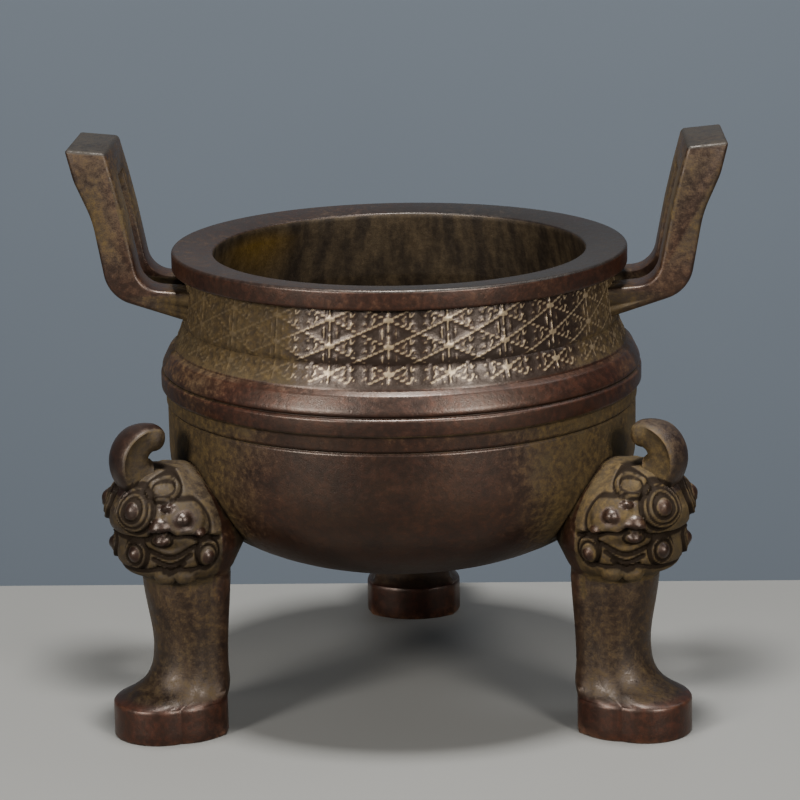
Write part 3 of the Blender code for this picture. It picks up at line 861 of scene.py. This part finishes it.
def dust_share(m, broad, blotch, grain, fine):
    """The dust mark broken up by noise, with more in hollows, less on edges and less inside."""
    spread = m.plus(m.times(m.minus(broad, 0.5), 0.5), m.times(m.minus(blotch, 0.5), 0.55))
    spread = m.plus(spread, m.times(m.minus(grain, 0.5), 0.7))
    spread = m.plus(spread, m.times(m.minus(fine, 0.5), 0.6))
    amount = m.plus(m.plus(m.mark("dust_mark"), spread), m.times(m.mark("hollow_mark"), 0.5))
    amount = m.minus(amount, m.times(m.mark("edge_mark"), 0.8))
    return m.times(m.step(amount, 0.15, 0.9), m.minus(1, m.times(m.mark("inside_mark"), 0.75)))


def patinated_bronze():
    m = Nodes("patinated_bronze")
    at = m.place()
    broad = m.noise(at, 38, 5)
    blotch = m.noise(at, 110, 5, 0.6)
    grain = m.noise(at, 620, 4, 0.6)
    fine = m.noise(at, 2600, 3, 0.6)
    relief = m.mark("relief_mark")
    dark_tone_and_shade = m.mark("dark_tone_and_shade_mark")
    dust = dust_share(m, broad, blotch, grain, fine)

    khaki = m.blend(m.step(grain, 0.3, 0.7), *KHAKI)
    khaki = m.blend(m.step(blotch, 0.45, 0.75), khaki, PALE_KHAKI)
    colour = m.blend(m.times(dust, 0.85), bare_metal(m, broad, blotch, grain), khaki)
    speck = m.step(m.plus(m.times(fine, 0.6), m.times(grain, 0.4)), 0.42, 0.60)
    colour = m.blend(m.times(m.minus(1, speck), 0.35), colour, SPECK)
    # Near-black with spots: painted shade on the tops and the ridge's middle, a darker tone on the left head
    # and the crest's outer band
    dark_tone_and_shade_spots = m.times(dark_tone_and_shade, m.step(m.plus(blotch, m.times(grain, 0.5)), 0.45, 0.80))
    colour = m.blend(m.plus(m.times(dark_tone_and_shade, 0.5), m.times(dark_tone_and_shade_spots, 0.45)), colour, DARK_TONE_AND_SHADE)
    # Painted shade: hollows and the mask's cut lines are darkened, and their shine is lessened
    hollow_shade = m.times(m.step(m.mark("hollow_mark"), 0.14, 0.5), 0.95)
    colour = m.blend(hollow_shade, colour, HOLLOW_SHADE)
    ground = m.times(m.mark("neck_mark"), m.minus(1, m.step(relief, 0.1, 0.45)))
    colour = m.blend(m.times(ground, m.minus(0.85, m.times(dust, 0.7))), colour, NECK_GROUND)
    raised = m.times(m.step(relief, 0.35, 0.8), m.minus(0.95, m.times(dust, 0.86)))
    colour = m.blend(raised, colour, m.blend(grain, *NECK_LINES))
    worn_spots = m.step(m.plus(blotch, m.times(grain, 0.6)), 0.62, 0.95)
    worn = m.times(m.step(m.mark("edge_mark"), 0.2, 0.75), worn_spots)
    colour = m.blend(m.times(worn, 0.85), colour, m.blend(m.mark("warm_mark"), *WORN))

    rough = m.plus(m.plus(0.27, m.times(grain, 0.22)), m.times(dust, 0.38))
    rough = m.math("ADD", rough, m.times(m.mark("inside_mark"), 0.12), clamp=True)
    shine = m.times(m.minus(0.45, m.times(dust, 0.25)), m.minus(1, m.times(hollow_shade, 0.7)))
    m.finish("Base Color", colour)
    m.finish("Metallic", m.minus(0.4, m.times(dust, 0.35)))
    m.finish("Specular IOR Level", shine)
    m.finish("Specular Tint", (1.0, 0.92, 0.84))
    m.finish("Roughness", rough)

    height = m.plus(m.times(grain, 0.55), m.times(fine, 0.25))
    height = m.plus(height, m.times(m.step(m.cells(at, 900), 0.0, 0.35), 0.18))
    bump = m.tree.nodes.new("ShaderNodeBump")
    bump.inputs["Strength"].default_value = 0.35
    bump.inputs["Distance"].default_value = 0.00028
    m.put(bump.inputs["Height"], height)
    m.finish("Normal", bump.outputs["Normal"])
    return m.material


def plain(name, colour, rough, variation):
    m = Nodes(name)
    at = m.place()
    cloud = m.noise(at, 3, 4)
    speck = m.noise(at, 900, 2)
    low = tuple(c * (1 - variation) for c in colour)
    high = tuple(min(c * (1 + variation), 1) for c in colour)
    m.finish("Base Color", m.blend(m.plus(m.times(cloud, 0.8), m.times(speck, 0.2)), low, high))
    m.finish("Roughness", rough)
    return m.material


def panel(name, corners, material):
    piece = to_object(name, corners, [(0, 1, 2, 3)])
    piece.data.materials.append(material)
    return piece


def soft_light(name, place, target, size, power, colour):
    data = bpy.data.lights.new(name, "AREA")
    data.shape = "DISK"
    data.size = size
    data.energy = power
    data.color = colour
    lamp = bpy.data.objects.new(name, data)
    lamp.location = place
    aim = Vector(target) - Vector(place)
    lamp.rotation_euler = aim.to_track_quat("-Z", "Y").to_euler()
    bpy.context.scene.collection.objects.link(lamp)


casting = build()
casting.data.materials.clear()
casting.data.materials.append(patinated_bronze())
surface_marks(casting)
casting.data.shade_smooth()
casting.data.set_sharp_from_angle(angle=math.radians(42))
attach(casting, "root")
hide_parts("censer")

# Table, backdrop, lights and camera, in metres
TABLE_EDGE = 0.0735
BACKDROP = 0.9
panel("table_top", [(-1.4, -1.6, 0), (1.4, -1.6, 0), (1.4, TABLE_EDGE, 0), (-1.4, TABLE_EDGE, 0)],
      plain("pale_table", (0.0752, 0.0752, 0.0718), 0.65, 0.05))
panel("backdrop",
      [(-2.5, BACKDROP, -1.2), (2.5, BACKDROP, -1.2), (2.5, BACKDROP, 2.2), (-2.5, BACKDROP, 2.2)],
      plain("grey_backdrop", (0.051, 0.063, 0.079), 0.9, 0.08))

world = bpy.data.worlds.new("studio")
bpy.context.scene.world = world
world.use_nodes = True
world.node_tree.nodes["Background"].inputs["Color"].default_value = (0.78, 0.84, 0.95, 1)
world.node_tree.nodes["Background"].inputs["Strength"].default_value = 0.17
MIDDLE = (0, 0, 0.07)
SOFT_WHITE = (1.0, 0.96, 0.90)
HIGH_WHITE = (1.0, 0.97, 0.93)
soft_light("left_soft", (-0.80, -0.92, 0.52), MIDDLE, 0.34, 28, SOFT_WHITE)
soft_light("right_soft", (0.69, -1.01, 0.52), MIDDLE, 0.34, 26, SOFT_WHITE)
soft_light("left_high", (-0.75, -0.86, 1.02), MIDDLE, 0.22, 6, HIGH_WHITE)
soft_light("right_high", (0.64, -0.94, 1.02), MIDDLE, 0.22, 6, HIGH_WHITE)
soft_light("overhead", (0.0, -0.16, 1.25), (0, 0, 0.05), 0.22, 52, (1.0, 0.99, 0.96))
soft_light("wall_wash", (0.9, 0.2, 1.3), (0.3, 0.9, 0.3), 0.8, 10, (0.95, 0.97, 1.0))

CAMERA_PLACE = (0.0269, -0.7434, 0.2562)
CAMERA_HEADING = 2.1
CAMERA_TILT = 75.985
CAMERA_ROLL = -1.05
camera_data = bpy.data.cameras.new("camera")
camera_data.lens = 139.2
camera_data.sensor_width = 36
camera_data.shift_x = -0.0024
camera = bpy.data.objects.new("camera", camera_data)
bpy.context.scene.collection.objects.link(camera)
turn = Matrix.Rotation(math.radians(CAMERA_HEADING), 4, "Z")
turn = turn @ Matrix.Rotation(math.radians(CAMERA_TILT), 4, "X")
turn = turn @ Matrix.Rotation(math.radians(CAMERA_ROLL), 4, "Z")
camera.matrix_world = Matrix.Translation(CAMERA_PLACE) @ turn
bpy.context.scene.camera = camera
